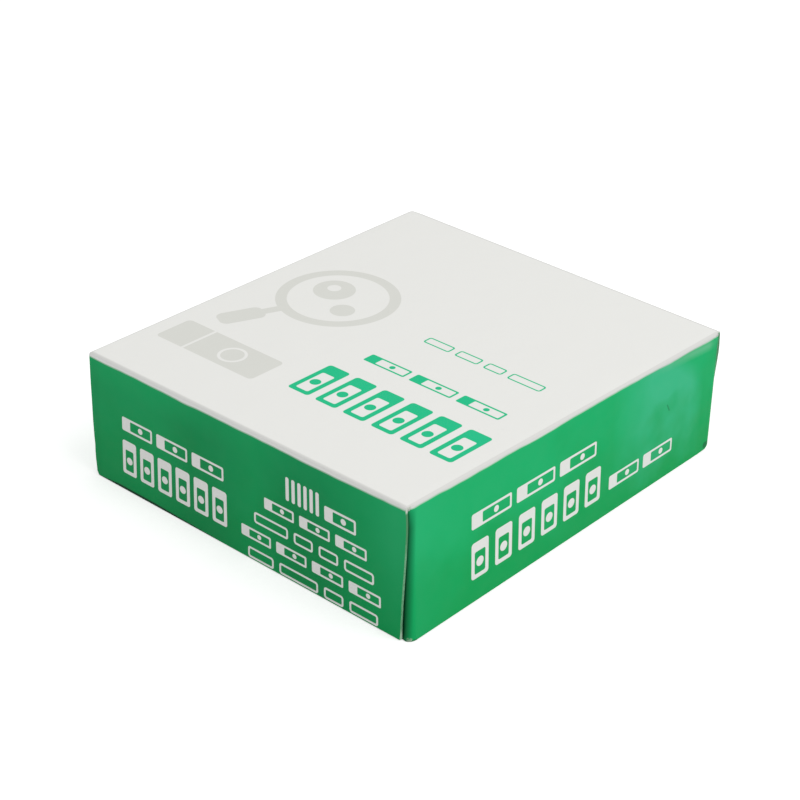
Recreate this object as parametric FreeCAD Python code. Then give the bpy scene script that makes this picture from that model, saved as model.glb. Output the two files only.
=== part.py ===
"""A cardboard box of seventy-two glass microscope slides: a full-depth lid over a tray, both folded from board.

Millimetres, +Z up. X runs along the front panel, which is also along each slide, and Y along the row of
slides. The origin is at the centre of the box's footprint, on the surface that it stands on.
"""
import FreeCAD
import Part
import math
import os

Vector = FreeCAD.Vector

# The slides: glass plates that stand on a long edge, one behind the other.
slide_length = 76.2
slide_width = 25.4
slide_thickness = 1.15
ground_edge = 0.2  # the bevel that is ground along every edge
slide_gap = 0.03  # air between one slide and the next
slide_count = 72
slides_per_node = 2

# The board that both halves of the box are folded from.
board = 0.5
glue_line = 0.25  # the bead of glue between a flap and the panel that it is glued behind
flap_length = 15.0
flap_taper = 8.0  # degrees that a flap's upper and lower edges slope
crease_radius = 0.1  # inside of the folds between the big panel and the four walls
corner_fold_radius = 1.3  # outside of the upright folds between a side wall and its flaps
lid_panel_inset = 0.25  # from a side wall's outer face in to the top of the lid's end panel's raw edge
tray_panel_inset = 0.8  # the same for the tray, whose raw edges stay clear of the lid's folds
rim_inset = 1.8  # the same at the rim of either, as the end panels are cut with a taper

# Clearances of what fits together.
slide_end_clearance = 0.75  # between a slide's end and the curve of the tray's upright folds
row_clearance = 0.2  # between the row's last face and the tray's flaps
lid_clearance = 0.2  # between the tray and the lid, on every side
top_clearance = 0.2  # between the slides' upper edges and the lid's top panel
tray_drop = 0.6  # how far the tray's rim lies below the slides' upper edges
rim_lift = 0.2  # between the lid's rim and the surface that the tray stands on

# Worked out from those: from the row of slides outwards to the tray, and from the tray to the lid.
slide_pitch = slide_thickness + slide_gap
row_length = slide_count * slide_pitch - slide_gap
end_wall = 2 * board + glue_line  # an end panel with a flap glued behind it

top_fold_radius = crease_radius + board
inside_fold = corner_fold_radius - board
fold_intrusion = inside_fold - math.sqrt(inside_fold**2 - (inside_fold - row_clearance) ** 2)

tray_x = slide_length + 2 * (slide_end_clearance + fold_intrusion + board)
tray_y = row_length + 2 * (row_clearance + end_wall)
tray_height = board + slide_width - tray_drop

lid_x = tray_x + 2 * (lid_clearance + board)
lid_y = tray_y + 2 * (lid_clearance + end_wall)
box_height = board + slide_width + top_clearance + board
lid_height = box_height - rim_lift

OVERRUN = 1.0  # how far a cutting shape runs past what it cuts


def prism(points, travel):
    """The flat outline through the points, pushed along travel."""
    return Part.Face(Part.makePolygon(points + points[:1])).extrude(travel)


def upright_edges(solid):
    """The solid's edges that run straight up."""
    return [e for e in solid.Edges if abs(e.tangentAt(e.FirstParameter).z) > 0.999]


def side_edges_at(solid, height):
    """The solid's edges that run along Y at this height."""
    level = [e for e in solid.Edges if abs(e.CenterOfMass.z - height) < 1e-6]
    return [e for e in level if abs(e.tangentAt(e.FirstParameter).y) > 0.999]


def block(size_x, size_y, height):
    """A plain block that stands on z = 0, centred in plan."""
    return Part.makeBox(size_x, size_y, height, Vector(-size_x / 2, -size_y / 2, 0))


def rounded_in_section(size_x, size_y, height, fold_radius):
    """A block with its two upper side edges rounded."""
    square = block(size_x, size_y, height)
    return square.makeFillet(fold_radius, side_edges_at(square, height))


def rounded_block(size_x, size_y, height, fold_radius, corner_radius):
    """A block with its upright edges and its two upper side edges rounded, as folded board is."""
    square = block(size_x, size_y, height)
    in_plan = square.makeFillet(corner_radius, upright_edges(square))
    return in_plan.common(rounded_in_section(size_x, size_y, height, fold_radius))


def wrap(size_x, size_y, depth):
    """The big panel, the two side walls, and a wall all across each end, which the flaps are cut from."""
    outside_y = size_y - 2 * (board + glue_line)
    outside = rounded_block(size_x, outside_y, depth, top_fold_radius, corner_fold_radius)
    inside_y = outside_y - 2 * board
    inside = rounded_block(size_x - 2 * board, inside_y, depth - board, crease_radius, inside_fold)
    return outside.cut(inside)


def gap_between_flaps(size_x, size_y, depth):
    """What is cut out of both end walls of the wrap, so that four tapered flaps are left."""
    fold_line = size_x / 2 - corner_fold_radius
    free_end = fold_line - flap_length
    slope = flap_length * math.tan(math.radians(flap_taper))
    under_panel = depth - board
    right_half = [
        (fold_line, under_panel),
        (free_end, under_panel - slope),
        (free_end, slope),
        (fold_line, 0),
        (fold_line, -OVERRUN),
    ]
    left_half = [(-x, z) for x, z in reversed(right_half)]
    outline = [Vector(x, -size_y / 2, z) for x, z in right_half + left_half]
    across = prism(outline, Vector(0, size_y, 0))
    kept = Part.makeBox(size_x, size_y - 2 * end_wall, 2 * depth)
    return across.cut(kept.translated(Vector(-size_x / 2, end_wall - size_y / 2, -depth / 2)))


def end_panel(size_x, size_y, depth, inset):
    """The panel at the -Y end with its fold: a strip of board bent over the edge of the big panel."""
    outer, inner = top_fold_radius, crease_radius
    face_y = -size_y / 2
    lap = face_y + end_wall + corner_fold_radius  # where the strip ends, inside the big panel
    middle = Vector(0, face_y + outer, depth - outer)  # the fold's centre

    def on_fold(radius, degrees):
        turn = math.radians(degrees)
        return middle + Vector(0, -radius * math.cos(turn), radius * math.sin(turn))

    corners = [
        Vector(0, face_y, 0),
        on_fold(outer, 0),
        on_fold(outer, 90),
        Vector(0, lap, depth),
        Vector(0, lap, depth - board),
        on_fold(inner, 90),
        on_fold(inner, 0),
        Vector(0, face_y + board, 0),
    ]
    folds = {1: on_fold(outer, 45), 5: on_fold(inner, 45)}
    edges = []
    for i, start in enumerate(corners):
        end = corners[(i + 1) % len(corners)]
        bent = i in folds
        edges.append(Part.Arc(start, folds[i], end).toShape() if bent else Part.makeLine(start, end))
    strip = Part.Face(Part.Wire(edges)).extrude(Vector(size_x, 0, 0))
    strip = strip.translated(Vector(-size_x / 2, 0, 0))
    half_width, half_rim = size_x / 2 - inset, size_x / 2 - rim_inset
    outline = [(half_rim, 0), (half_width, depth), (-half_width, depth), (-half_rim, 0)]
    cut_out = prism([Vector(x, face_y, z) for x, z in outline], Vector(0, size_y, 0))
    return strip.common(cut_out).common(rounded_in_section(size_x, size_y, depth, top_fold_radius))


def folded_half(size_x, size_y, depth, panel_inset):
    """One half of the box, folded from one sheet: its big panel on top at z = depth, its rim at z = 0."""
    half = wrap(size_x, size_y, depth).cut(gap_between_flaps(size_x, size_y, depth))
    front = end_panel(size_x, size_y, depth, panel_inset)
    back = front.rotated(Vector(), Vector(0, 0, 1), 180)
    return half.fuse([front, back]).removeSplitter()


def lid():
    """The printed lid, standing just clear of the table round the tray."""
    return folded_half(lid_x, lid_y, lid_height, lid_panel_inset).translated(Vector(0, 0, rim_lift))


def base_tray():
    """The plain tray: the same fold, turned over."""
    half = folded_half(tray_x, tray_y, tray_height, tray_panel_inset)
    return half.rotated(Vector(), Vector(1, 0, 0), 180).translated(Vector(0, 0, tray_height))


def slide(number):
    """One slide in its place in the row, counted from the front."""
    front_face = (number * slide_pitch) - row_length / 2
    corner = Vector(-slide_length / 2, front_face, board)
    plate = Part.makeBox(slide_length, slide_thickness, slide_width, corner)
    return plate.makeChamfer(ground_edge, plate.Edges)


def save(shape, node):
    """Writes one node, after making sure that each solid in it is sound."""
    assert all(s.isValid() and s.isClosed() for s in shape.Solids), node
    shape.exportStep(f"parts/{node}.step")
    print(node, len(shape.Solids), round(shape.Volume, 2))


os.makedirs("parts", exist_ok=True)
save(lid(), "lid")
save(base_tray(), "base_tray")
for first in range(0, slide_count, slides_per_node):
    group = [slide(n) for n in range(first, min(first + slides_per_node, slide_count))]
    save(Part.makeCompound(group), f"slides_{first + 1:02d}_{first + len(group):02d}")
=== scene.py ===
"""The looks of a cardboard box of microscope slides: a printed lid over a plain tray with a row of slides.

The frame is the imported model's: +Z up, X along the front panel and along each slide, Y along the row of
slides, from the front panel to the back. Sizes are in mm, and MM turns them to Blender's metres. Masks and
strengths in the materials run from 0 to 1.
"""

import math

import bmesh
import bpy
from mathutils import Matrix, Vector, noise


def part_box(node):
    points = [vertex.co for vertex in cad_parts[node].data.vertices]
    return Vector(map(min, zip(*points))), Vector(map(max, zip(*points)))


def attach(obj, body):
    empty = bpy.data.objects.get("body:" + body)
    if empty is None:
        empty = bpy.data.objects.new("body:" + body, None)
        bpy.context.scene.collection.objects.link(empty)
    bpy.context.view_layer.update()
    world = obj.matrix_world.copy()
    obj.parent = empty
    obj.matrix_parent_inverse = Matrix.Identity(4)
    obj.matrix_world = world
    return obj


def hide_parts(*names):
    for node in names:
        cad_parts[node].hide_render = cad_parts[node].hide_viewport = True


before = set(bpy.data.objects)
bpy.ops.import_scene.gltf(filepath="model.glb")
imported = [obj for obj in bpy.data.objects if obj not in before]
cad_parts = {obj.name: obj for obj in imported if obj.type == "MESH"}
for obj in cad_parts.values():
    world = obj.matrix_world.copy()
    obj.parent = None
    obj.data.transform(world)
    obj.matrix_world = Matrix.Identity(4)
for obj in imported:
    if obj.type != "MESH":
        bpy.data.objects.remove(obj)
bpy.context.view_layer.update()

MM = 0.001
LID_LOW, LID_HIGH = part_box("lid")
TRAY_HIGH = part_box("base_tray")[1]
HALF_X = LID_HIGH.x / MM
HALF_Y = LID_HIGH.y / MM
TOP = LID_HIGH.z / MM
RIM = LID_LOW.z / MM
SLIDE_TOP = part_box("slides_01_02")[1].z / MM

# The folded board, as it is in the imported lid.
BOARD = 0.5
GLUE_LINE = 0.25  # between a flap and the end panel that it is glued behind
TOP_FOLD = 0.6  # outside radius of the folds between the top and its four panels
CORNER_FOLD = 1.3  # outside radius of the upright folds between a side panel and its flaps
PANEL_INSET = 0.25  # from a side panel's face in to an end panel's raw edge, at its top
RIM_INSET = 1.8  # the same at the rim
FOLD_X = HALF_X - CORNER_FOLD  # how far out the upright folds begin
FOLD_Y = HALF_Y - BOARD - GLUE_LINE - CORNER_FOLD

# How the real lid's box departs from square. In front its side panels lean in at the top and out at the rim,
# and on the right the back panel does. The front panel is turned a little, out on the left and in on the
# right. The back stands a little aside, and the top isn't quite level.
SIDES_IN_AT_TOP = 0.4
LEFT_OUT_AT_RIM = 0.85
RIGHT_OUT_AT_RIM = 0.6
BACK_IN_AT_TOP = 0.65
BACK_OUT_AT_RIM = 0.85
FRONT_OUT_AT_TOP = 0.1
FRONT_OUT_AT_RIM = 0.3
FRONT_IN_ON_RIGHT = 0.5  # as a share of how far out it is on the left
BACK_ASIDE_AT_TOP = 0.2
BACK_ASIDE_AT_RIM = -0.1
FRONT_RIGHT_RISE = 0.5
BACK_LEFT_RISE = 0.25
BACK_RIGHT_RISE = -0.15

# The end panels' raw edges: how far they bow out halfway up, how far they wander near the rim, and how far
# those on the right sway, out near the top and in near the rim.
EDGE_BOW = 0.2
EDGE_WANDER = 0.16
RIGHT_EDGE_SWAY = 0.23
SWAY_CROSSING = 0.62  # how far up the edge the sway turns from in to out, from 0 at the rim to 1
SWAY_TURN = 4.2  # radians of the sway's sine over the edge's height
SWAY_FADE = 8.0  # it fades out over the top eighth

# What is worn or bent at the rim: from how far up, how far along, and how far the rim's own points move.
FOOT_HEIGHT = 0.9
EDGE_FOOT_UP = 0.5
EDGE_FOOT_IN = 0.12
FOLD_FOOT_REACH = 2.0
FOLD_FOOT_OUT = 0.22
FOLD_FOOT_DOWN = 0.1
BACK_FOOT_HEIGHT = 1.4
BACK_FOOT_REACH = 1.2
BACK_FOOT_UP = 0.85

# How much smaller the back folds' radius is at the top than at the rim, and how much further out they stand.
BACK_FOLD_SHARPER = 0.8
BACK_FOLD_OUT = 0.2

# The top's left-hand back corner: how far in from it the board is worn, and by how much of that it is moved.
CORNER_WEAR_REACH = 0.8
CORNER_WEAR = 0.45

# How finely the lid's mesh is cut.
GRID_STEP = 2.5
GRID_ROWS = 16

CLEARANCE = 0.03  # between the inside of the lid and the tray or the slides
SAME = 0.01  # places that differ by less are the same

# The camera: which way it looks and its roll, in degrees, where it stands, in mm, and its lens, in mm.
AZIMUTH = 41.61
ELEVATION = 29.38
ROLL = 1.162
CAMERA_PLACE = Vector((215.996, -245.78, 197.624))
LENS = 87.483


# ---------------------------------------------------------------- the flat sheet that the lid is folded from


def unrolled(out, height, half):
    """How far along the flat sheet a point lies that is out from the middle, at this height."""
    straight = half - TOP_FOLD
    fold_centre = TOP - TOP_FOLD
    if height < fold_centre:
        return straight + TOP_FOLD * math.pi / 2 + fold_centre - height
    return straight + TOP_FOLD * math.atan2(out - straight, height - fold_centre)


def round_corner(out_x, out_y):
    """How far along a side panel a point lies, counting on round the upright fold and along the flap."""
    if out_y <= FOLD_Y:
        return out_y
    if out_x >= FOLD_X:
        return FOLD_Y + CORNER_FOLD * math.atan2(out_y - FOLD_Y, out_x - FOLD_X)
    return FOLD_Y + CORNER_FOLD * math.pi / 2 + FOLD_X - out_x


def on_sheet(p, centre, normal):
    """Where a point p of the lid's outside lies on the flat sheet, on the face with this centre."""
    sign_x = math.copysign(1.0, centre.x)
    sign_y = math.copysign(1.0, centre.y)
    if normal.z > 0.99:
        return (p.x, p.y)
    if abs(centre.y) > HALF_Y - TOP_FOLD and abs(normal.x) < 0.7:
        return (p.x, sign_y * unrolled(abs(p.y), p.z, HALF_Y))
    if normal.z > 0.02:
        return (sign_x * unrolled(abs(p.x), p.z, HALF_X), p.y)
    return (sign_x * unrolled(abs(p.x), p.z, HALF_X), sign_y * round_corner(abs(p.x), abs(p.y)))


# ---------------------------------------------------------------- node materials


class Shader:
    """A material's nodes, built by calls that take and return sockets or plain numbers."""

    def __init__(self, name):
        self.material = bpy.data.materials.new(name)
        self.material.use_nodes = True
        self.tree = self.material.node_tree
        self.tree.nodes.clear()

    def node(self, kind, inputs=None, **settings):
        node = self.tree.nodes.new(kind)
        for key, value in settings.items():
            setattr(node, key, value)
        for key, value in (inputs or {}).items():
            self.put(node.inputs[key], value)
        return node

    def put(self, socket, value):
        if isinstance(value, bpy.types.NodeSocket):
            self.tree.links.new(value, socket)
        elif value is not None:
            socket.default_value = value

    def math(self, operation, a, b=None, clamp=False):
        node = self.node("ShaderNodeMath", operation=operation, use_clamp=clamp)
        for socket, value in zip(node.inputs, (a, b)):
            self.put(socket, value)
        return node.outputs[0]

    def chain(self, operation, values):
        result = values[0]
        for value in values[1:]:
            result = self.math(operation, result, value)
        return result

    def plus(self, *terms):
        return self.chain("ADD", terms)

    def times(self, *factors):
        return self.chain("MULTIPLY", factors)

    def strongest(self, *masks):
        return self.chain("MAXIMUM", masks)

    def minus(self, a, b, clamp=False):
        return self.math("SUBTRACT", a, b, clamp=clamp)

    def ramp(self, value, low, high, to_low=0.0, to_high=1.0, smooth=False):
        """To_low where the value is at low, to_high where it is at high, level beyond both."""
        node = self.node("ShaderNodeMapRange", interpolation_type="SMOOTHSTEP" if smooth else "LINEAR")
        for socket, setting in zip(node.inputs, (value, low, high, to_low, to_high)):
            self.put(socket, setting)
        return node.outputs[0]

    def between(self, value, start, full, fading, end, smooth=False):
        """Rises from 0 at start to 1 at full, and falls from 1 at fading to 0 at end."""
        rise = self.ramp(value, start, full, smooth=smooth)
        return self.times(rise, self.ramp(value, end, fading, smooth=smooth))

    def near(self, value, middle, inner, outer, inside=1.0, outside=0.0):
        """Inside as far as inner to either side of the middle, outside from outer on."""
        distance = self.math("ABSOLUTE", self.minus(value, middle))
        return self.ramp(distance, inner, outer, inside, outside)

    def vector(self, operation, a, b=None, scale=None):
        node = self.node("ShaderNodeVectorMath", operation=operation)
        self.put(node.inputs[0], a)
        self.put(node.inputs[1], b)
        if scale is not None:
            self.put(node.inputs["Scale"], scale)
        return node.outputs["Value" if operation == "LENGTH" else "Vector"]

    def split(self, vector):
        return self.node("ShaderNodeSeparateXYZ", {0: vector}).outputs

    def join(self, x, y, z=0.0):
        return self.node("ShaderNodeCombineXYZ", {0: x, 1: y, 2: z}).outputs[0]

    def place_mm(self):
        """The place on the piece."""
        place = self.node("ShaderNodeTexCoord").outputs["Object"]
        return self.vector("SCALE", place, scale=1 / MM)

    def mix(self, strength, colour, other):
        """The colour, turned to the other one by this strength."""
        node = self.node("ShaderNodeMix", data_type="RGBA")
        self.put(node.inputs[0], strength)
        for socket, value in ((node.inputs[6], colour), (node.inputs[7], other)):
            self.put(socket, value if isinstance(value, bpy.types.NodeSocket) else (*value, 1.0))
        return node.outputs[2]

    def noise(self, vector, scale, detail=2.0, roughness=0.5):
        inputs = {"Vector": vector, "Scale": scale, "Detail": detail, "Roughness": roughness}
        return self.node("ShaderNodeTexNoise", inputs).outputs[0]

    def bump(self, height, distance, strength, normal=None):
        node = self.node("ShaderNodeBump", {"Strength": strength, "Distance": distance, "Height": height})
        self.put(node.inputs["Normal"], normal)
        return node.outputs[0]

    def surface(self, **inputs):
        node = self.node("ShaderNodeBsdfPrincipled", {k.replace("_", " "): v for k, v in inputs.items()})
        output = self.node("ShaderNodeOutputMaterial")
        self.tree.links.new(node.outputs[0], output.inputs[0])
        return self.material


# ---------------------------------------------------------------- the printed signs

SOFT = 0.045  # half the width over which ink fades out at its edge

# A slide sign's proportions, as parts of its length or its width.
LABEL_LENGTH = 0.27
SIGN_CORNER = 0.14
WINDOW_CORNER = 0.08
SPECIMEN_SIZE = 0.42


def rounded(s, place, centre, size, radius, turn=0.0):
    """1 inside a rounded rectangle, 0 outside. The turn is in degrees."""
    p = s.vector("SUBTRACT", place, (*centre, 0))
    if turn:
        rotate = {"Vector": p, "Angle": math.radians(-turn)}
        p = s.node("ShaderNodeVectorRotate", rotate, rotation_type="Z_AXIS").outputs[0]
    p = s.vector("ABSOLUTE", p)
    p = s.vector("SUBTRACT", p, (size[0] / 2 - radius, size[1] / 2 - radius, 0))
    p = s.vector("MAXIMUM", p, (0, 0, 0))
    distance = s.vector("LENGTH", p)
    return s.ramp(distance, radius + SOFT, radius - SOFT)


def disc(s, place, centre, across):
    return rounded(s, place, centre, (across, across), across / 2)


def repeat(s, place, first, pitch, count):
    """The place measured from the nearest of count centres in a row along x."""
    x, y, _ = s.split(s.vector("SUBTRACT", place, (*first, 0)))
    number = s.math("ROUND", s.math("DIVIDE", x, pitch))
    number = s.math("MINIMUM", s.math("MAXIMUM", number, 0.0), count - 1.0)
    return s.join(s.minus(x, s.times(number, pitch)), y)


def slide_sign(s, cell, length, width, line):
    """A slide along x, centred: an outline, a solid label end at the left and a round specimen."""
    pane = length - LABEL_LENGTH * length - line
    pane_middle = (length / 2 - line - pane / 2, 0)
    outer = rounded(s, cell, (0, 0), (length, width), SIGN_CORNER * width)
    window = rounded(s, cell, pane_middle, (pane, width - 2 * line), WINDOW_CORNER * width)
    specimen = disc(s, cell, pane_middle, SPECIMEN_SIZE * width)
    return s.strongest(s.minus(outer, window, clamp=True), specimen)


def lying_slides(s, place, left, foot, length, width, pitch, count, line):
    """A row of slide signs end to end."""
    cell = repeat(s, place, (left + length / 2, foot + width / 2), pitch, count)
    return slide_sign(s, cell, length, width, line)


def standing_slides(s, place, left, foot, width, height, pitch, count, line):
    """A row of slide signs side by side, their label ends up."""
    cell = repeat(s, place, (left + width / 2, foot + height / 2), pitch, count)
    x, y, _ = s.split(cell)
    return slide_sign(s, s.join(s.times(y, -1.0), x), height, width, line)


def plates(s, place, left, middle, height, lengths, gap, line):
    """A line of outlined clear plates of these lengths, from the left."""
    masks = []
    for length in lengths:
        centre = (left + length / 2, middle)
        outer = rounded(s, place, centre, (length, height), 0.25 * height)
        inner = rounded(s, place, centre, (length - 2 * line, height - 2 * line), 0.12 * height)
        masks.append(s.minus(outer, inner, clamp=True))
        left += length + gap
    return s.strongest(*masks)


def ticks(s, place, left, foot, width, height, pitch, count):
    """A row of thin upright bars, like slides seen edge on."""
    cell = repeat(s, place, (left + width / 2, foot + height / 2), pitch, count)
    return rounded(s, cell, (0, 0), (width, height), 0.45 * width)


def front_signs(s, place):
    """White signs on the front panel. x from its left corner, y up from the table."""
    return s.strongest(
        lying_slides(s, place, left=9.3, foot=13.4, length=8.3, width=2.9, pitch=9.5, count=3, line=0.46),
        standing_slides(s, place, left=9.3, foot=4.0, width=3.75, height=7.3, pitch=4.85, count=6, line=0.78),
        ticks(s, place, left=52.3, foot=16.4, width=0.8, height=4.7, pitch=1.45, count=6),
        lying_slides(s, place, left=61.6, foot=16.4, length=7.4, width=2.9, pitch=9.0, count=1, line=0.46),
        lying_slides(s, place, left=46.9, foot=12.4, length=7.3, width=2.3, pitch=8.6, count=3, line=0.42),
        plates(s, place, left=44.3, middle=9.5, height=2.3, lengths=(8.4, 4.6, 4.6, 6.9), gap=1.4, line=0.42),
        lying_slides(s, place, left=41.0, foot=4.5, length=7.4, width=2.3, pitch=8.7, count=4, line=0.42),
        plates(s, place, left=42.6, middle=1.6, height=2.3, lengths=(6.4, 9.4, 4.6, 6.6), gap=1.4, line=0.42),
    )


def side_signs(s, place):
    """White signs on the right-hand panel. x from its front corner, y up from the table."""
    return s.strongest(
        lying_slides(s, place, left=16.4, foot=15.0, length=10.8, width=3.1, pitch=12.2, count=3, line=0.5),
        standing_slides(s, place, left=16.4, foot=4.8, width=4.6, height=7.4, pitch=6.45, count=6, line=0.86),
        lying_slides(s, place, left=56.0, foot=5.4, length=9.4, width=3.0, pitch=10.8, count=2, line=0.48),
    )


def top_signs(s, place):
    """Green signs on the top. x from its left edge, y from its front edge."""
    return s.strongest(
        plates(
            s, place, left=42.6, middle=47.6, height=2.4, lengths=(6.4, 5.6, 4.4, 7.8), gap=1.4, line=0.34
        ),
        lying_slides(s, place, left=39.4, foot=33.2, length=10.1, width=2.9, pitch=11.4, count=3, line=0.44),
        standing_slides(
            s, place, left=36.6, foot=16.1, width=5.2, height=11.4, pitch=6.86, count=6, line=1.1
        ),
    )


def lens_sign(s, place):
    """The pale sign on the top: a hand lens over a slide, with two cells in view."""
    slide_middle = (17.0, 17.6)
    specimen_middle = (20.6, 17.6)
    lens_middle = (18.2, 48.6)
    handle_turn = -24.0
    handle_angle = math.radians(handle_turn)

    def along_handle(distance):
        x, y = lens_middle
        return (x + distance * math.sin(handle_angle), y - distance * math.cos(handle_angle))

    def ring(centre, outside, inside):
        return s.minus(disc(s, place, centre, outside), disc(s, place, centre, inside), clamp=True)

    slide = rounded(s, place, slide_middle, (26.0, 8.8), 1.0)
    label_line = rounded(s, place, (11.4, 17.6), (0.6, 9.0), 0.2)
    slide = s.minus(slide, s.strongest(label_line, ring(specimen_middle, 5.8, 4.6)), clamp=True)
    neck = rounded(s, place, along_handle(14.2), (2.2, 4.4), 0.3, handle_turn)
    grip = rounded(s, place, along_handle(20.4), (4.8, 9.4), 1.6, handle_turn)
    nucleus = disc(s, place, (14.6, 51.2), 2.8)
    big_cell = s.minus(disc(s, place, (15.2, 50.6), 8.6), nucleus, clamp=True)
    small_cell = disc(s, place, (22.6, 45.2), 5.0)
    return s.strongest(slide, ring(lens_middle, 25.0, 20.4), neck, grip, big_cell, small_cell)


# ---------------------------------------------------------------- the printed board

BLACK = (0.0, 0.0, 0.0)
WHITE_BOARD = (0.85, 0.85, 0.82)
# Painted lighter white for the folds, against their shade.
FOLD_LIT_WHITE = (0.95, 0.95, 0.93)
# The ink's green as painted shaded and lit copies: shaded at the rim, lit towards the fold.
INK_GREEN_SHADED_LOW = (0.001, 0.395, 0.100)
INK_GREEN_LIT_HIGH = (0.009, 0.485, 0.160)
# Painted sheen on the end panels towards their right-hand ends.
FRONT_CORNER_SHEEN_GREEN = (0.03, 0.60, 0.22)
# Paler green of the painted sheen.
SHEEN_GREEN = (0.050, 0.56, 0.29)
# Painted highlight under the right-hand fold.
FOLD_HIGHLIGHT_GREEN = (0.15, 0.58, 0.31)
TOP_GREEN = (0.015, 0.55, 0.26)
PALE_GREY = (0.72, 0.725, 0.68)
# Painted shade behind the raw edges.
CREVICE_SHADE_GREEN = (0.0, 0.03, 0.01)
# Painted shadow line under the right-hand fold.
FOLD_SHADOW_GREEN = (0.08, 0.16, 0.11)
# Dark marks: a scratch, and strips at the right-hand panel's two lower corners.
DARK_MARK_GREEN = (0.0, 0.12, 0.04)
BARE_SPOT = (0.60, 0.66, 0.56)
# Painted shadow along the front panel's rim.
RIM_SHADOW_GREEN = (0.0, 0.02, 0.01)


class PrintedSheet(Shader):
    """The printed board's material, with the places that its print and its wear are set out by."""

    def __init__(self, name):
        super().__init__(name)
        self.sheet = self.node("ShaderNodeUVMap", uv_map="sheet").outputs[0]
        self.x, self.y, _ = self.split(self.sheet)
        self.on_piece = self.place_mm()
        # Each panel's own places, as its signs are set out by.
        table_in_front = unrolled(HALF_Y, 0.0, HALF_Y)
        table_at_side = unrolled(HALF_X, 0.0, HALF_X)
        self.on_top = self.join(self.plus(self.x, HALF_X), self.plus(self.y, HALF_Y))
        self.on_front = self.join(self.plus(self.x, HALF_X), self.plus(self.y, table_in_front))
        self.on_side = self.join(self.plus(self.y, HALF_Y), self.minus(table_at_side, self.x))
        # How far a place lies beyond the top's edges, and how far down its panel, from 0 at the top to 1.
        self.off_x = self.minus(self.math("ABSOLUTE", self.x), HALF_X)
        self.off_y = self.minus(self.math("ABSOLUTE", self.y), HALF_Y)
        self.drop = self.math("DIVIDE", self.strongest(self.off_x, self.off_y), TOP - RIM)
        # Soft clouds, and how high a place lies on its panel, with the clouds added.
        self.cloud = self.ramp(self.noise(self.sheet, 0.055, 3.0), 0.3, 0.7, -0.3, 0.3)
        self.height = self.plus(self.minus(1.0, self.drop), self.cloud)
        # Masks of the right-hand panel and the front panel.
        self.right_hand = self.ramp(self.x, HALF_X, HALF_X + 0.4)
        self.front = self.ramp(self.y, -HALF_Y, -HALF_Y - 0.5)


def inked(s):
    """Where the board is green: beyond a line that wavers just past the folds.

    It lies closer to the top at the end panels' right and a little behind the side panels' middle, and
    further off at the side panels' back.
    """
    waver = s.ramp(s.noise(s.sheet, 0.09, 2.0), 0.3, 0.7, -0.15, 0.15)
    closer_x = s.plus(s.near(s.y, 12.0, 4.0, 16.0, 0.18, 0.0), s.ramp(s.y, 30.0, 38.0, 0.0, -0.2))
    closer_y = s.ramp(s.x, 27.0, 35.0, 0.0, 0.3)
    beyond_x = s.ramp(s.plus(s.off_x, waver, closer_x), 0.21, 0.62)
    beyond_y = s.ramp(s.plus(s.off_y, waver, closer_y), 0.31, 0.76)
    return s.strongest(beyond_x, beyond_y)


def fold_shade_and_score_lines(s):
    """Painted shade along the folds, together with the grey of the lines that the board was scored along
    before it was folded.
    """
    along_sides = s.between(s.off_x, -0.8, -0.35, 0.1, 0.5, smooth=True)
    along_ends = s.between(s.off_y, -1.0, -0.4, -0.1, 0.35, smooth=True)
    return s.strongest(s.times(along_sides, 0.17), s.times(along_ends, 0.19))


def top_colour(s):
    """White board, painted paler on the folds and just past them to offset their shade, with painted shade
    and the score lines along the folds, and the top's signs.
    """
    fold_painted_light = s.strongest(s.ramp(s.off_x, 0.0, 0.35, 0.0, 0.5), s.ramp(s.off_y, -0.35, 0.15))
    colour = s.mix(fold_painted_light, WHITE_BOARD, FOLD_LIT_WHITE)
    colour = s.mix(fold_shade_and_score_lines(s), colour, BLACK)
    colour = s.mix(lens_sign(s, s.on_top), colour, PALE_GREY)
    return s.mix(top_signs(s, s.on_top), colour, TOP_GREEN)


def painted_sheen(s):
    """Painted sheen, where the right-hand panel is painted paler as by a soft reflection: its far part, and a
    little by its front corner.
    """
    far = s.between(s.y, 11.0, 26.0, 36.0, 40.5)
    far = s.times(far, s.ramp(s.plus(s.off_x, s.times(s.y, -0.66)), -21.0, -16.5))
    far = s.math("MULTIPLY", far, s.plus(s.cloud, 1.1), clamp=True)
    far = s.times(far, s.ramp(s.height, 0.12, 0.58))
    by_corner = s.ramp(s.y, -33.0, -42.0, 0.0, 0.16)
    return s.times(s.strongest(far, by_corner), s.right_hand)


def painted_fold_highlight(s):
    """A painted highlight: a pale stripe close under the right-hand fold, towards the back."""
    middle = s.plus(s.times(s.y, 0.06), -0.95)
    along = s.between(s.y, 22.0, 36.0, 41.5, 43.5)
    return s.times(s.near(s.off_x, middle, 0.2, 1.5), along, s.right_hand)


def front_painted_shade(s):
    """Painted shade: how much darker the front panel is, in soft upright bands.

    They are weaker under the fold, and at the rim stronger on the left and weaker on the right.
    """
    bands = s.strongest(
        s.near(s.x, 17.0, 3.0, 13.0, 0.33, 0.19),
        s.near(s.x, -9.0, 3.0, 14.0, 0.30, 0.18),
        s.ramp(s.x, -33.0, -38.0, 0.0, 0.24),
    )
    at_fold = s.ramp(s.x, -18.0, 5.0, 0.45, 0.8)
    at_rim = s.ramp(s.x, -18.0, 5.0, 1.25, 0.9)
    upper = s.ramp(s.drop, 0.0, 0.22, at_fold, 1.06)
    lower = s.ramp(s.drop, 0.6, 1.0, 1.0, at_rim)
    return s.times(bands, upper, lower, s.front)


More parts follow.
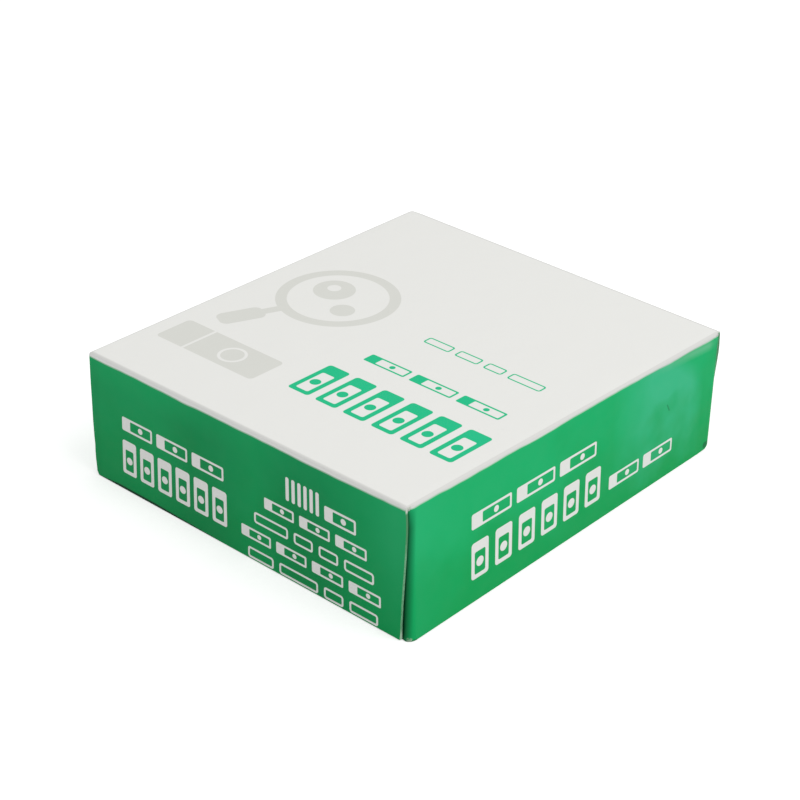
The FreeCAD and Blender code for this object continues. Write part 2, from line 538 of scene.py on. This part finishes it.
def crevice_shade(s):
    """Painted shade on the upright folds, where they turn in behind the end panels' raw edges."""
    # About where the raw edge hides the fold: further along at the rim, as the end panels are tapered.
    raw_edge_place = s.plus(s.times(s.drop, 1.3), FOLD_Y + 1.435)
    tucked_in = s.minus(s.math("ABSOLUTE", s.y), raw_edge_place)
    below_fold = s.ramp(s.drop, 0.03, 0.15, 0.4, 1.0)
    return s.times(s.ramp(tucked_in, -1.9, -0.1), s.ramp(s.off_x, 0.2, 0.6), below_fold)


def green_colour(s):
    """The green of the panels, with painted light and shade: lighter towards the fold, half as much so in
    front, with a painted sheen, a painted highlight, the front panel's painted shade and painted shade behind
    the raw edges.
    """
    # Painted light and shade: darker towards the rim, lighter towards the fold, half as much so in front.
    light = s.ramp(s.height, 0.15, 0.95, smooth=True)
    light = s.plus(light, s.times(s.minus(0.5, light), s.front, 0.5))
    green = s.mix(light, INK_GREEN_SHADED_LOW, INK_GREEN_LIT_HIGH)
    # Painted sheen: the end panels lighter towards their right-hand ends, below the fold.
    front_corner_sheen = s.times(s.ramp(s.x, 30.0, 37.5), s.ramp(s.off_y, 0.2, 0.6))
    green = s.mix(s.times(front_corner_sheen, s.ramp(s.drop, 0.95, 0.3, 0.0, 0.55)), green, FRONT_CORNER_SHEEN_GREEN)
    less_red = s.ramp(s.y, -25.0, 40.0, 1.0, 0.1)
    green = s.vector("MULTIPLY", green, s.join(less_red, 1.0, 1.0))
    green = s.mix(s.times(painted_sheen(s), 0.8), green, SHEEN_GREEN)
    green = s.mix(s.times(painted_fold_highlight(s), 0.75), green, FOLD_HIGHLIGHT_GREEN)
    green = s.mix(front_painted_shade(s), green, BLACK)
    return s.mix(s.times(crevice_shade(s), 0.92), green, CREVICE_SHADE_GREEN)


def right_hand_wear_and_shadow(s, colour):
    """Adds a painted shadow line under the fold, a scratch, two dark corners and a bare spot to the
    right-hand panel.
    """
    fold_shadow_line = s.times(s.near(s.off_x, 0.42, 0.08, 0.22), s.ramp(s.y, 12.0, 26.0, 0.0, 0.2))
    colour = s.mix(fold_shadow_line, colour, FOLD_SHADOW_GREEN)
    scratch = rounded(s, s.on_side, (74.2, 15.9), (0.35, 1.9), 0.15, turn=28.0)
    far_corner = rounded(s, s.on_side, (88.3, 1.3), (1.7, 1.5), 0.6)
    near_corner = rounded(s, s.on_side, (1.0, 0.2), (2.4, 0.5), 0.1)
    colour = s.mix(s.times(s.strongest(s.times(scratch, 0.65), far_corner, near_corner), 0.7), colour, DARK_MARK_GREEN)
    flecks = s.ramp(s.noise(s.on_piece, 1.3, 2.0), 0.35, 0.6)
    bare = rounded(s, s.on_side, (0.75, 0.55), (0.95, 0.6), 0.25)
    return s.mix(s.times(bare, flecks, 0.6), colour, BARE_SPOT)


def front_rim_shadow(s):
    """Painted shadow: the dark line along the front panel's rim, widest towards its left end."""
    x, y, _ = s.split(s.on_front)
    widening = s.between(x, 1.5, 8.0, 18.0, 38.0)
    line = s.ramp(s.plus(y, s.times(widening, -0.6)), 0.22, 0.08)
    return s.times(line, s.ramp(s.off_y, 2.0, 3.0))


def printed_board():
    """White-lined board with a white top and green panels, softly glossy."""
    s = PrintedSheet("printed_board")
    white_signs = s.strongest(front_signs(s, s.on_front), side_signs(s, s.on_side))
    colour = s.mix(s.minus(inked(s), white_signs, clamp=True), top_colour(s), green_colour(s))
    colour = right_hand_wear_and_shadow(s, colour)
    # Painted shadow along the front panel's rim.
    colour = s.mix(s.times(front_rim_shadow(s), 0.9), colour, RIM_SHADOW_GREEN)
    grain = s.bump(s.noise(s.on_piece, 2.2, 3.0), distance=0.01 * MM, strength=0.5)
    normal = s.bump(s.noise(s.on_piece, 0.09, 2.0), distance=0.4 * MM, strength=0.5, normal=grain)
    rough = s.ramp(s.noise(s.on_piece, 0.35, 3.0), 0.3, 0.7, 0.38, 0.48)
    return s.surface(Base_Color=colour, Roughness=rough, Specular_IOR_Level=0.07, Normal=normal)


# ---------------------------------------------------------------- bare board and glass

CUT_BOARD = (0.22, 0.49, 0.29)
CUT_BOARD_DARK = (0.07, 0.26, 0.11)
CUT_BOARD_TOP = (0.62, 0.66, 0.58)
CUT_BOARD_FOOT = (0.42, 0.60, 0.44)
BACK_OF_BOARD = (0.70, 0.69, 0.65)
BACK_OF_BOARD_DARK = (0.60, 0.58, 0.53)
TRAY_BOARD = (0.74, 0.73, 0.69)
TRAY_BOARD_DARK = (0.64, 0.62, 0.57)
BOARD_FLECK = (0.35, 0.32, 0.27)
CLEAR_GLASS = (0.86, 0.95, 0.91)
GROUND_GLASS = (0.72, 0.84, 0.78)
FROSTED_FROM = 18.0  # where along a slide its frosted end begins


def board_fibres(s, place):
    return s.noise(s.vector("MULTIPLY", place, (1.0, 3.0, 1.0)), 1.6, 4.0, 0.65)


def board_surface(s, place, fibres, colour):
    """Matt board of this colour with flecks and raised fibres."""
    flecks = s.ramp(s.noise(place, 3.4, 2.0), 0.66, 0.74)
    colour = s.mix(s.times(flecks, 0.25), colour, BOARD_FLECK)
    normal = s.bump(fibres, distance=0.03 * MM, strength=0.6)
    return s.surface(Base_Color=colour, Roughness=0.85, Normal=normal)


def bare_board(name, colour, dark):
    """Unprinted board, darker where its fibres lie."""
    s = Shader(name)
    place = s.place_mm()
    fibres = board_fibres(s, place)
    return board_surface(s, place, fibres, s.mix(s.ramp(fibres, 0.35, 0.7), colour, dark))


def cut_board():
    """The lid's cut edges: greenish, smeared with ink further up, and pale at their top and their foot."""
    s = Shader("cut_board")
    place = s.place_mm()
    _, _, z = s.split(place)
    fibres = board_fibres(s, place)
    smeared = s.ramp(s.plus(s.times(fibres, 9.0), z), 20.0, 25.0)
    dark = s.strongest(s.ramp(fibres, 0.35, 0.7), smeared)
    dark = s.times(dark, s.ramp(z, TOP - 0.5, TOP - 0.9), s.ramp(z, 1.4, 2.8))
    colour = s.mix(s.ramp(z, TOP - 0.8, TOP - 0.3), CUT_BOARD, CUT_BOARD_TOP)
    colour = s.mix(s.ramp(z, 2.8, 1.4), colour, CUT_BOARD_FOOT)
    return board_surface(s, place, fibres, s.mix(dark, colour, CUT_BOARD_DARK))


def glass():
    """Clear glass, dull on its ground edges and its frosted end."""
    s = Shader("slide_glass")
    place = s.place_mm()
    x, _, _ = s.split(place)
    normal = s.node("ShaderNodeTexCoord").outputs["Normal"]
    _, along_row, _ = s.split(s.vector("ABSOLUTE", normal))
    dull = s.strongest(s.ramp(along_row, 0.9, 0.6), s.ramp(x, FROSTED_FROM, FROSTED_FROM + 0.1))
    colour = s.mix(dull, CLEAR_GLASS, GROUND_GLASS)
    rough = s.ramp(dull, 0.0, 1.0, 0.02, 0.55)
    clear = s.ramp(dull, 0.0, 1.0, 0.86, 0.25)
    bump = s.bump(s.noise(place, 9.0, 3.0), distance=0.02 * MM, strength=0.4)
    return s.surface(Base_Color=colour, Roughness=rough, Transmission_Weight=clear, IOR=1.52, Normal=bump)


# ---------------------------------------------------------------- the lid


def back_fold(p):
    """Sharpens the upright folds at the back towards the top, and wears off their feet."""
    wear_start = FOLD_Y - BACK_FOOT_REACH / 2
    if p.y > wear_start and p.z < RIM + BACK_FOOT_HEIGHT and abs(p.x) > FOLD_X - SAME:
        worn = min(1.0, (p.y - wear_start) / BACK_FOOT_REACH) * (1 - (p.z - RIM) / BACK_FOOT_HEIGHT)
        p = p + Vector((0, 0, BACK_FOOT_UP * worn))
    if p.y < FOLD_Y - SAME or p.z > TOP - BOARD + SAME:
        return p
    height = (p.z - RIM) / (TOP - BOARD - RIM)
    sharper = BACK_FOLD_SHARPER * height
    outward = BACK_FOLD_OUT * height
    moved = p.copy()
    if abs(p.x) < FOLD_X - SAME:
        if p.y < HALF_Y - BOARD - SAME:
            moved.y += outward
        return moved
    reach = math.hypot(p.y - FOLD_Y, abs(p.x) - FOLD_X)
    if reach > CORNER_FOLD + 2 * SAME:
        return p
    angle = math.atan2(p.y - FOLD_Y, abs(p.x) - FOLD_X)
    radius = max(reach - sharper, 2 * SAME)
    moved.x = math.copysign(FOLD_X + sharper + radius * math.cos(angle), p.x)
    moved.y = FOLD_Y + sharper + outward + radius * math.sin(angle)
    return moved


def raw_edge(p):
    """Lets the end panels' raw edges run a little unevenly, and wears the feet of those on the left."""
    height = (p.z - RIM) / (TOP - TOP_FOLD - RIM)
    edge_x = HALF_X - RIM_INSET + (RIM_INSET - PANEL_INSET) * height
    if height > 1.0 or abs(p.y) < HALF_Y - BOARD - SAME or abs(p.x) < edge_x - 5 * SAME:
        return p
    worn = max(0.0, 1 - (p.z - RIM) / FOOT_HEIGHT) * max(0.0, 1 - (edge_x + p.x) / FOOT_HEIGHT)
    wander = noise.noise(Vector((p.x * 3.0, p.y * 3.0, p.z * 0.35)))
    bow = EDGE_BOW * math.sin(math.pi * height) + EDGE_WANDER * wander * (1.0 - height)
    side = math.copysign(1.0, p.x)
    if side > 0:
        sway = math.sin(SWAY_TURN * (height - SWAY_CROSSING))
        bow += RIGHT_EDGE_SWAY * sway * min(1.0, SWAY_FADE * (1.0 - height))
    return Vector((p.x + side * (bow - EDGE_FOOT_IN * worn), p.y, p.z + EDGE_FOOT_UP * worn))


def front_foot(p):
    """Lets the upright fold in front on the right stand out to the end panel and down at its foot."""
    low = 1 - (p.z - RIM) / FOOT_HEIGHT
    inward = FOLD_X - FOLD_FOOT_REACH
    if low <= 0 or p.x < inward or p.y > -FOLD_Y or p.y < BOARD - HALF_Y + SAME:
        return p
    turned = min(1.0, p.x - inward) * min(1.0, (-p.y - FOLD_Y) / CORNER_FOLD) ** 2
    return p - Vector((0, FOLD_FOOT_OUT, FOLD_FOOT_DOWN)) * low * turned


def worn_corner(p):
    """Rounds off the top's left-hand back corner a little."""
    near = min(p.y - HALF_Y, -p.x - HALF_X) + CORNER_WEAR_REACH
    if near <= 0 or p.z < TOP - CORNER_WEAR_REACH:
        return p
    return p + Vector((CORNER_WEAR, -CORNER_WEAR, 0)) * near


def settle(p):
    """Moves a point of the square lid to where the real lid's slightly uneven box has it."""
    right = (p.x / HALF_X + 1) / 2
    back = (p.y / HALF_Y + 1) / 2
    up = (p.z - RIM) / (TOP - RIM)
    left, front, down = 1 - right, 1 - back, 1 - up
    sides = SIDES_IN_AT_TOP * up * (left - right) + down * (RIGHT_OUT_AT_RIM * right - LEFT_OUT_AT_RIM * left)
    aside = BACK_ASIDE_AT_TOP * up + BACK_ASIDE_AT_RIM * down
    front_out = (FRONT_OUT_AT_TOP * up + FRONT_OUT_AT_RIM * down) * (left - FRONT_IN_ON_RIGHT * right)
    back_out = (BACK_OUT_AT_RIM * down - BACK_IN_AT_TOP * up) * right
    rise = FRONT_RIGHT_RISE * front * right + back * (BACK_LEFT_RISE * left + BACK_RIGHT_RISE * right)
    return p + Vector((sides * front + aside * back, back_out * back - front_out * front, rise * up))


def clear_of_tray(p, moved):
    """Keeps the lid's inside, which lay at p, off the tray and the slides, and its rim above the table."""
    walls = (HALF_X - BOARD, HALF_Y - 2 * BOARD - GLUE_LINE)
    for axis, wall in enumerate(walls):
        if abs(abs(p[axis]) - wall) < 2 * SAME:
            moved[axis] = math.copysign(max(abs(moved[axis]), TRAY_HIGH[axis] / MM + CLEARANCE), p[axis])
    if SLIDE_TOP < p.z < TOP - BOARD + SAME:
        moved.z = max(moved.z, SLIDE_TOP + CLEARANCE)
    moved.z = max(moved.z, 0.0)
    return moved


def cut_across(bm, axis, at):
    """Cuts the faces along the plane square to this axis, at this place."""
    place = Vector()
    direction = Vector()
    place[axis] = at * MM
    direction[axis] = 1.0
    geometry = bm.verts[:] + bm.edges[:] + bm.faces[:]
    bmesh.ops.bisect_plane(bm, geom=geometry, plane_co=place, plane_no=direction, dist=1e-7)


def cut_grid(bm):
    """Cuts the lid's faces into a grid, finer by the worn feet, so that they can bow and lean."""
    for axis, half in ((0, HALF_X), (1, HALF_Y)):
        count = int(2 * half / GRID_STEP)
        for i in range(1, count):
            cut_across(bm, axis, -half + 2 * half * i / count)
    by_feet = (FOOT_HEIGHT / 2, FOOT_HEIGHT)
    for inward in by_feet:
        for side in (-1, 1):
            cut_across(bm, 0, side * (HALF_X - RIM_INSET - inward))
    for upward in by_feet:
        cut_across(bm, 2, RIM + upward)
    for i in range(1, GRID_ROWS):
        cut_across(bm, 2, RIM + (TOP - RIM) * i / GRID_ROWS)


def face_kind(centre, normal):
    """0 for the printed outside, 1 for a cut edge, 2 for the bare inside of the board."""
    middle = Vector((0, 0, (TOP + RIM) / 2))
    at_rim = centre.z < RIM + 1.2 and normal.z < -0.3
    panel_end = abs(normal.x) > 0.7 and abs(centre.x) < HALF_X - 0.1 and abs(centre.y) > HALF_Y - TOP_FOLD
    if at_rim or (panel_end and normal.x * centre.x > 0):
        return 1
    return 0 if normal.dot(centre - middle) > 0 else 2


def lay_out(bm):
    """Gives each face its material and its place on the flat sheet."""
    uv = bm.loops.layers.uv.new("sheet")
    bm.normal_update()
    for face in bm.faces:
        centre = face.calc_center_median() / MM
        face.material_index = face_kind(centre, face.normal)
        face.smooth = True
        for loop in face.loops:
            loop[uv].uv = on_sheet(loop.vert.co / MM, centre, face.normal)


def make_lid():
    """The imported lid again, with its print and with the small faults of the real one."""
    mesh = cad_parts["lid"].data.copy()
    mesh.name = "printed_lid"
    bm = bmesh.new()
    bm.from_mesh(mesh)
    bmesh.ops.remove_doubles(bm, verts=bm.verts, dist=1e-7)
    bmesh.ops.dissolve_limit(bm, angle_limit=0.01, verts=bm.verts, edges=bm.edges)
    cut_grid(bm)
    lay_out(bm)
    for vert in bm.verts:
        place = vert.co / MM
        shaped = worn_corner(front_foot(raw_edge(back_fold(place))))
        vert.co = clear_of_tray(place, settle(shaped)) * MM
    mesh.materials.clear()
    mesh.materials.append(printed_board())
    mesh.materials.append(cut_board())
    mesh.materials.append(bare_board("lid_inside", BACK_OF_BOARD, BACK_OF_BOARD_DARK))
    bm.to_mesh(mesh)
    bm.free()
    mesh.set_sharp_from_angle(angle=math.radians(40))
    lid = bpy.data.objects.new("printed_lid", mesh)
    bpy.context.scene.collection.objects.link(lid)
    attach(lid, "lid")
    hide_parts("lid")


# ---------------------------------------------------------------- tray and slides


def dress(node, material):
    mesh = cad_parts[node].data
    mesh.materials.clear()
    mesh.materials.append(material)


def dress_inside():
    dress("base_tray", bare_board("tray_board", TRAY_BOARD, TRAY_BOARD_DARK))
    slide_material = glass()
    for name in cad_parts:
        if name.startswith("slides_"):
            dress(name, slide_material)


# ---------------------------------------------------------------- floor, light, camera

FLOOR_GREY = (0.60, 0.60, 0.60, 1.0)
FLOOR_GLOW = 0.6  # added where the floor is seen, so that it shows white and keeps the box's shadow
FLOOR_HALF = 3000.0


def make_floor():
    s = Shader("floor")
    rays = s.node("ShaderNodeLightPath").outputs
    seen = s.strongest(rays["Is Camera Ray"], rays["Is Glossy Ray"], rays["Is Transmission Ray"])
    diffuse = s.node("ShaderNodeBsdfDiffuse", {"Color": FLOOR_GREY}).outputs[0]
    glow = s.node("ShaderNodeEmission", {"Color": (1, 1, 1, 1), "Strength": s.times(seen, FLOOR_GLOW)})
    both = s.node("ShaderNodeAddShader", {0: diffuse, 1: glow.outputs[0]})
    output = s.node("ShaderNodeOutputMaterial")
    s.tree.links.new(both.outputs[0], output.inputs[0])
    half = FLOOR_HALF * MM
    mesh = bpy.data.meshes.new("floor")
    corners = [(-half, -half, 0), (half, -half, 0), (half, half, 0), (-half, half, 0)]
    mesh.from_pydata(corners, [], [(0, 1, 2, 3)])
    mesh.materials.append(s.material)
    floor = bpy.data.objects.new("floor", mesh)
    bpy.context.scene.collection.objects.link(floor)


def make_world(strength):
    """An even white light from all round."""
    world = bpy.data.worlds.new("studio")
    bpy.context.scene.world = world
    world.use_nodes = True
    background = world.node_tree.nodes["Background"]
    background.inputs["Color"].default_value = (1, 1, 1, 1)
    background.inputs["Strength"].default_value = strength


def area_light(name, direction, distance, size, level):
    """A square lamp, sizes in metres, that shines from this direction.

    At level 1 it lights a white surface that faces it to white.
    """
    light = bpy.data.lights.new(name, "AREA")
    light.shape = "SQUARE"
    light.size = size
    light.energy = level * (math.pi * distance) ** 2
    lamp = bpy.data.objects.new(name, light)
    lamp.location = Vector(direction).normalized() * distance
    lamp.rotation_euler = Vector(direction).to_track_quat("Z", "Y").to_euler()
    bpy.context.scene.collection.objects.link(lamp)


def make_camera():
    azimuth, elevation, roll = (math.radians(a) for a in (AZIMUTH, ELEVATION, ROLL))
    level = Vector((-math.sin(azimuth), math.cos(azimuth), 0))
    looking = level * math.cos(elevation) - Vector((0, 0, math.sin(elevation)))
    right = looking.cross(Vector((0, 0, 1))).normalized()
    up = right.cross(looking)
    rolled_right = right * math.cos(roll) + up * math.sin(roll)
    rolled_up = up * math.cos(roll) - right * math.sin(roll)
    turn = Matrix((rolled_right, rolled_up, -looking)).transposed().to_4x4()
    camera = bpy.data.objects.new("camera", bpy.data.cameras.new("camera"))
    camera.matrix_world = Matrix.Translation(CAMERA_PLACE * MM) @ turn
    camera.data.lens = LENS
    camera.data.sensor_width = 36.0
    camera.data.clip_start = 0.01
    bpy.context.scene.collection.objects.link(camera)
    bpy.context.scene.camera = camera


make_camera()
make_world(strength=0.66)
area_light("key", direction=(0.6, 0.1, 0.8), distance=1.3, size=0.9, level=0.42)
make_floor()
make_lid()
dress_inside()
bpy.context.scene.view_settings.view_transform = "Standard"
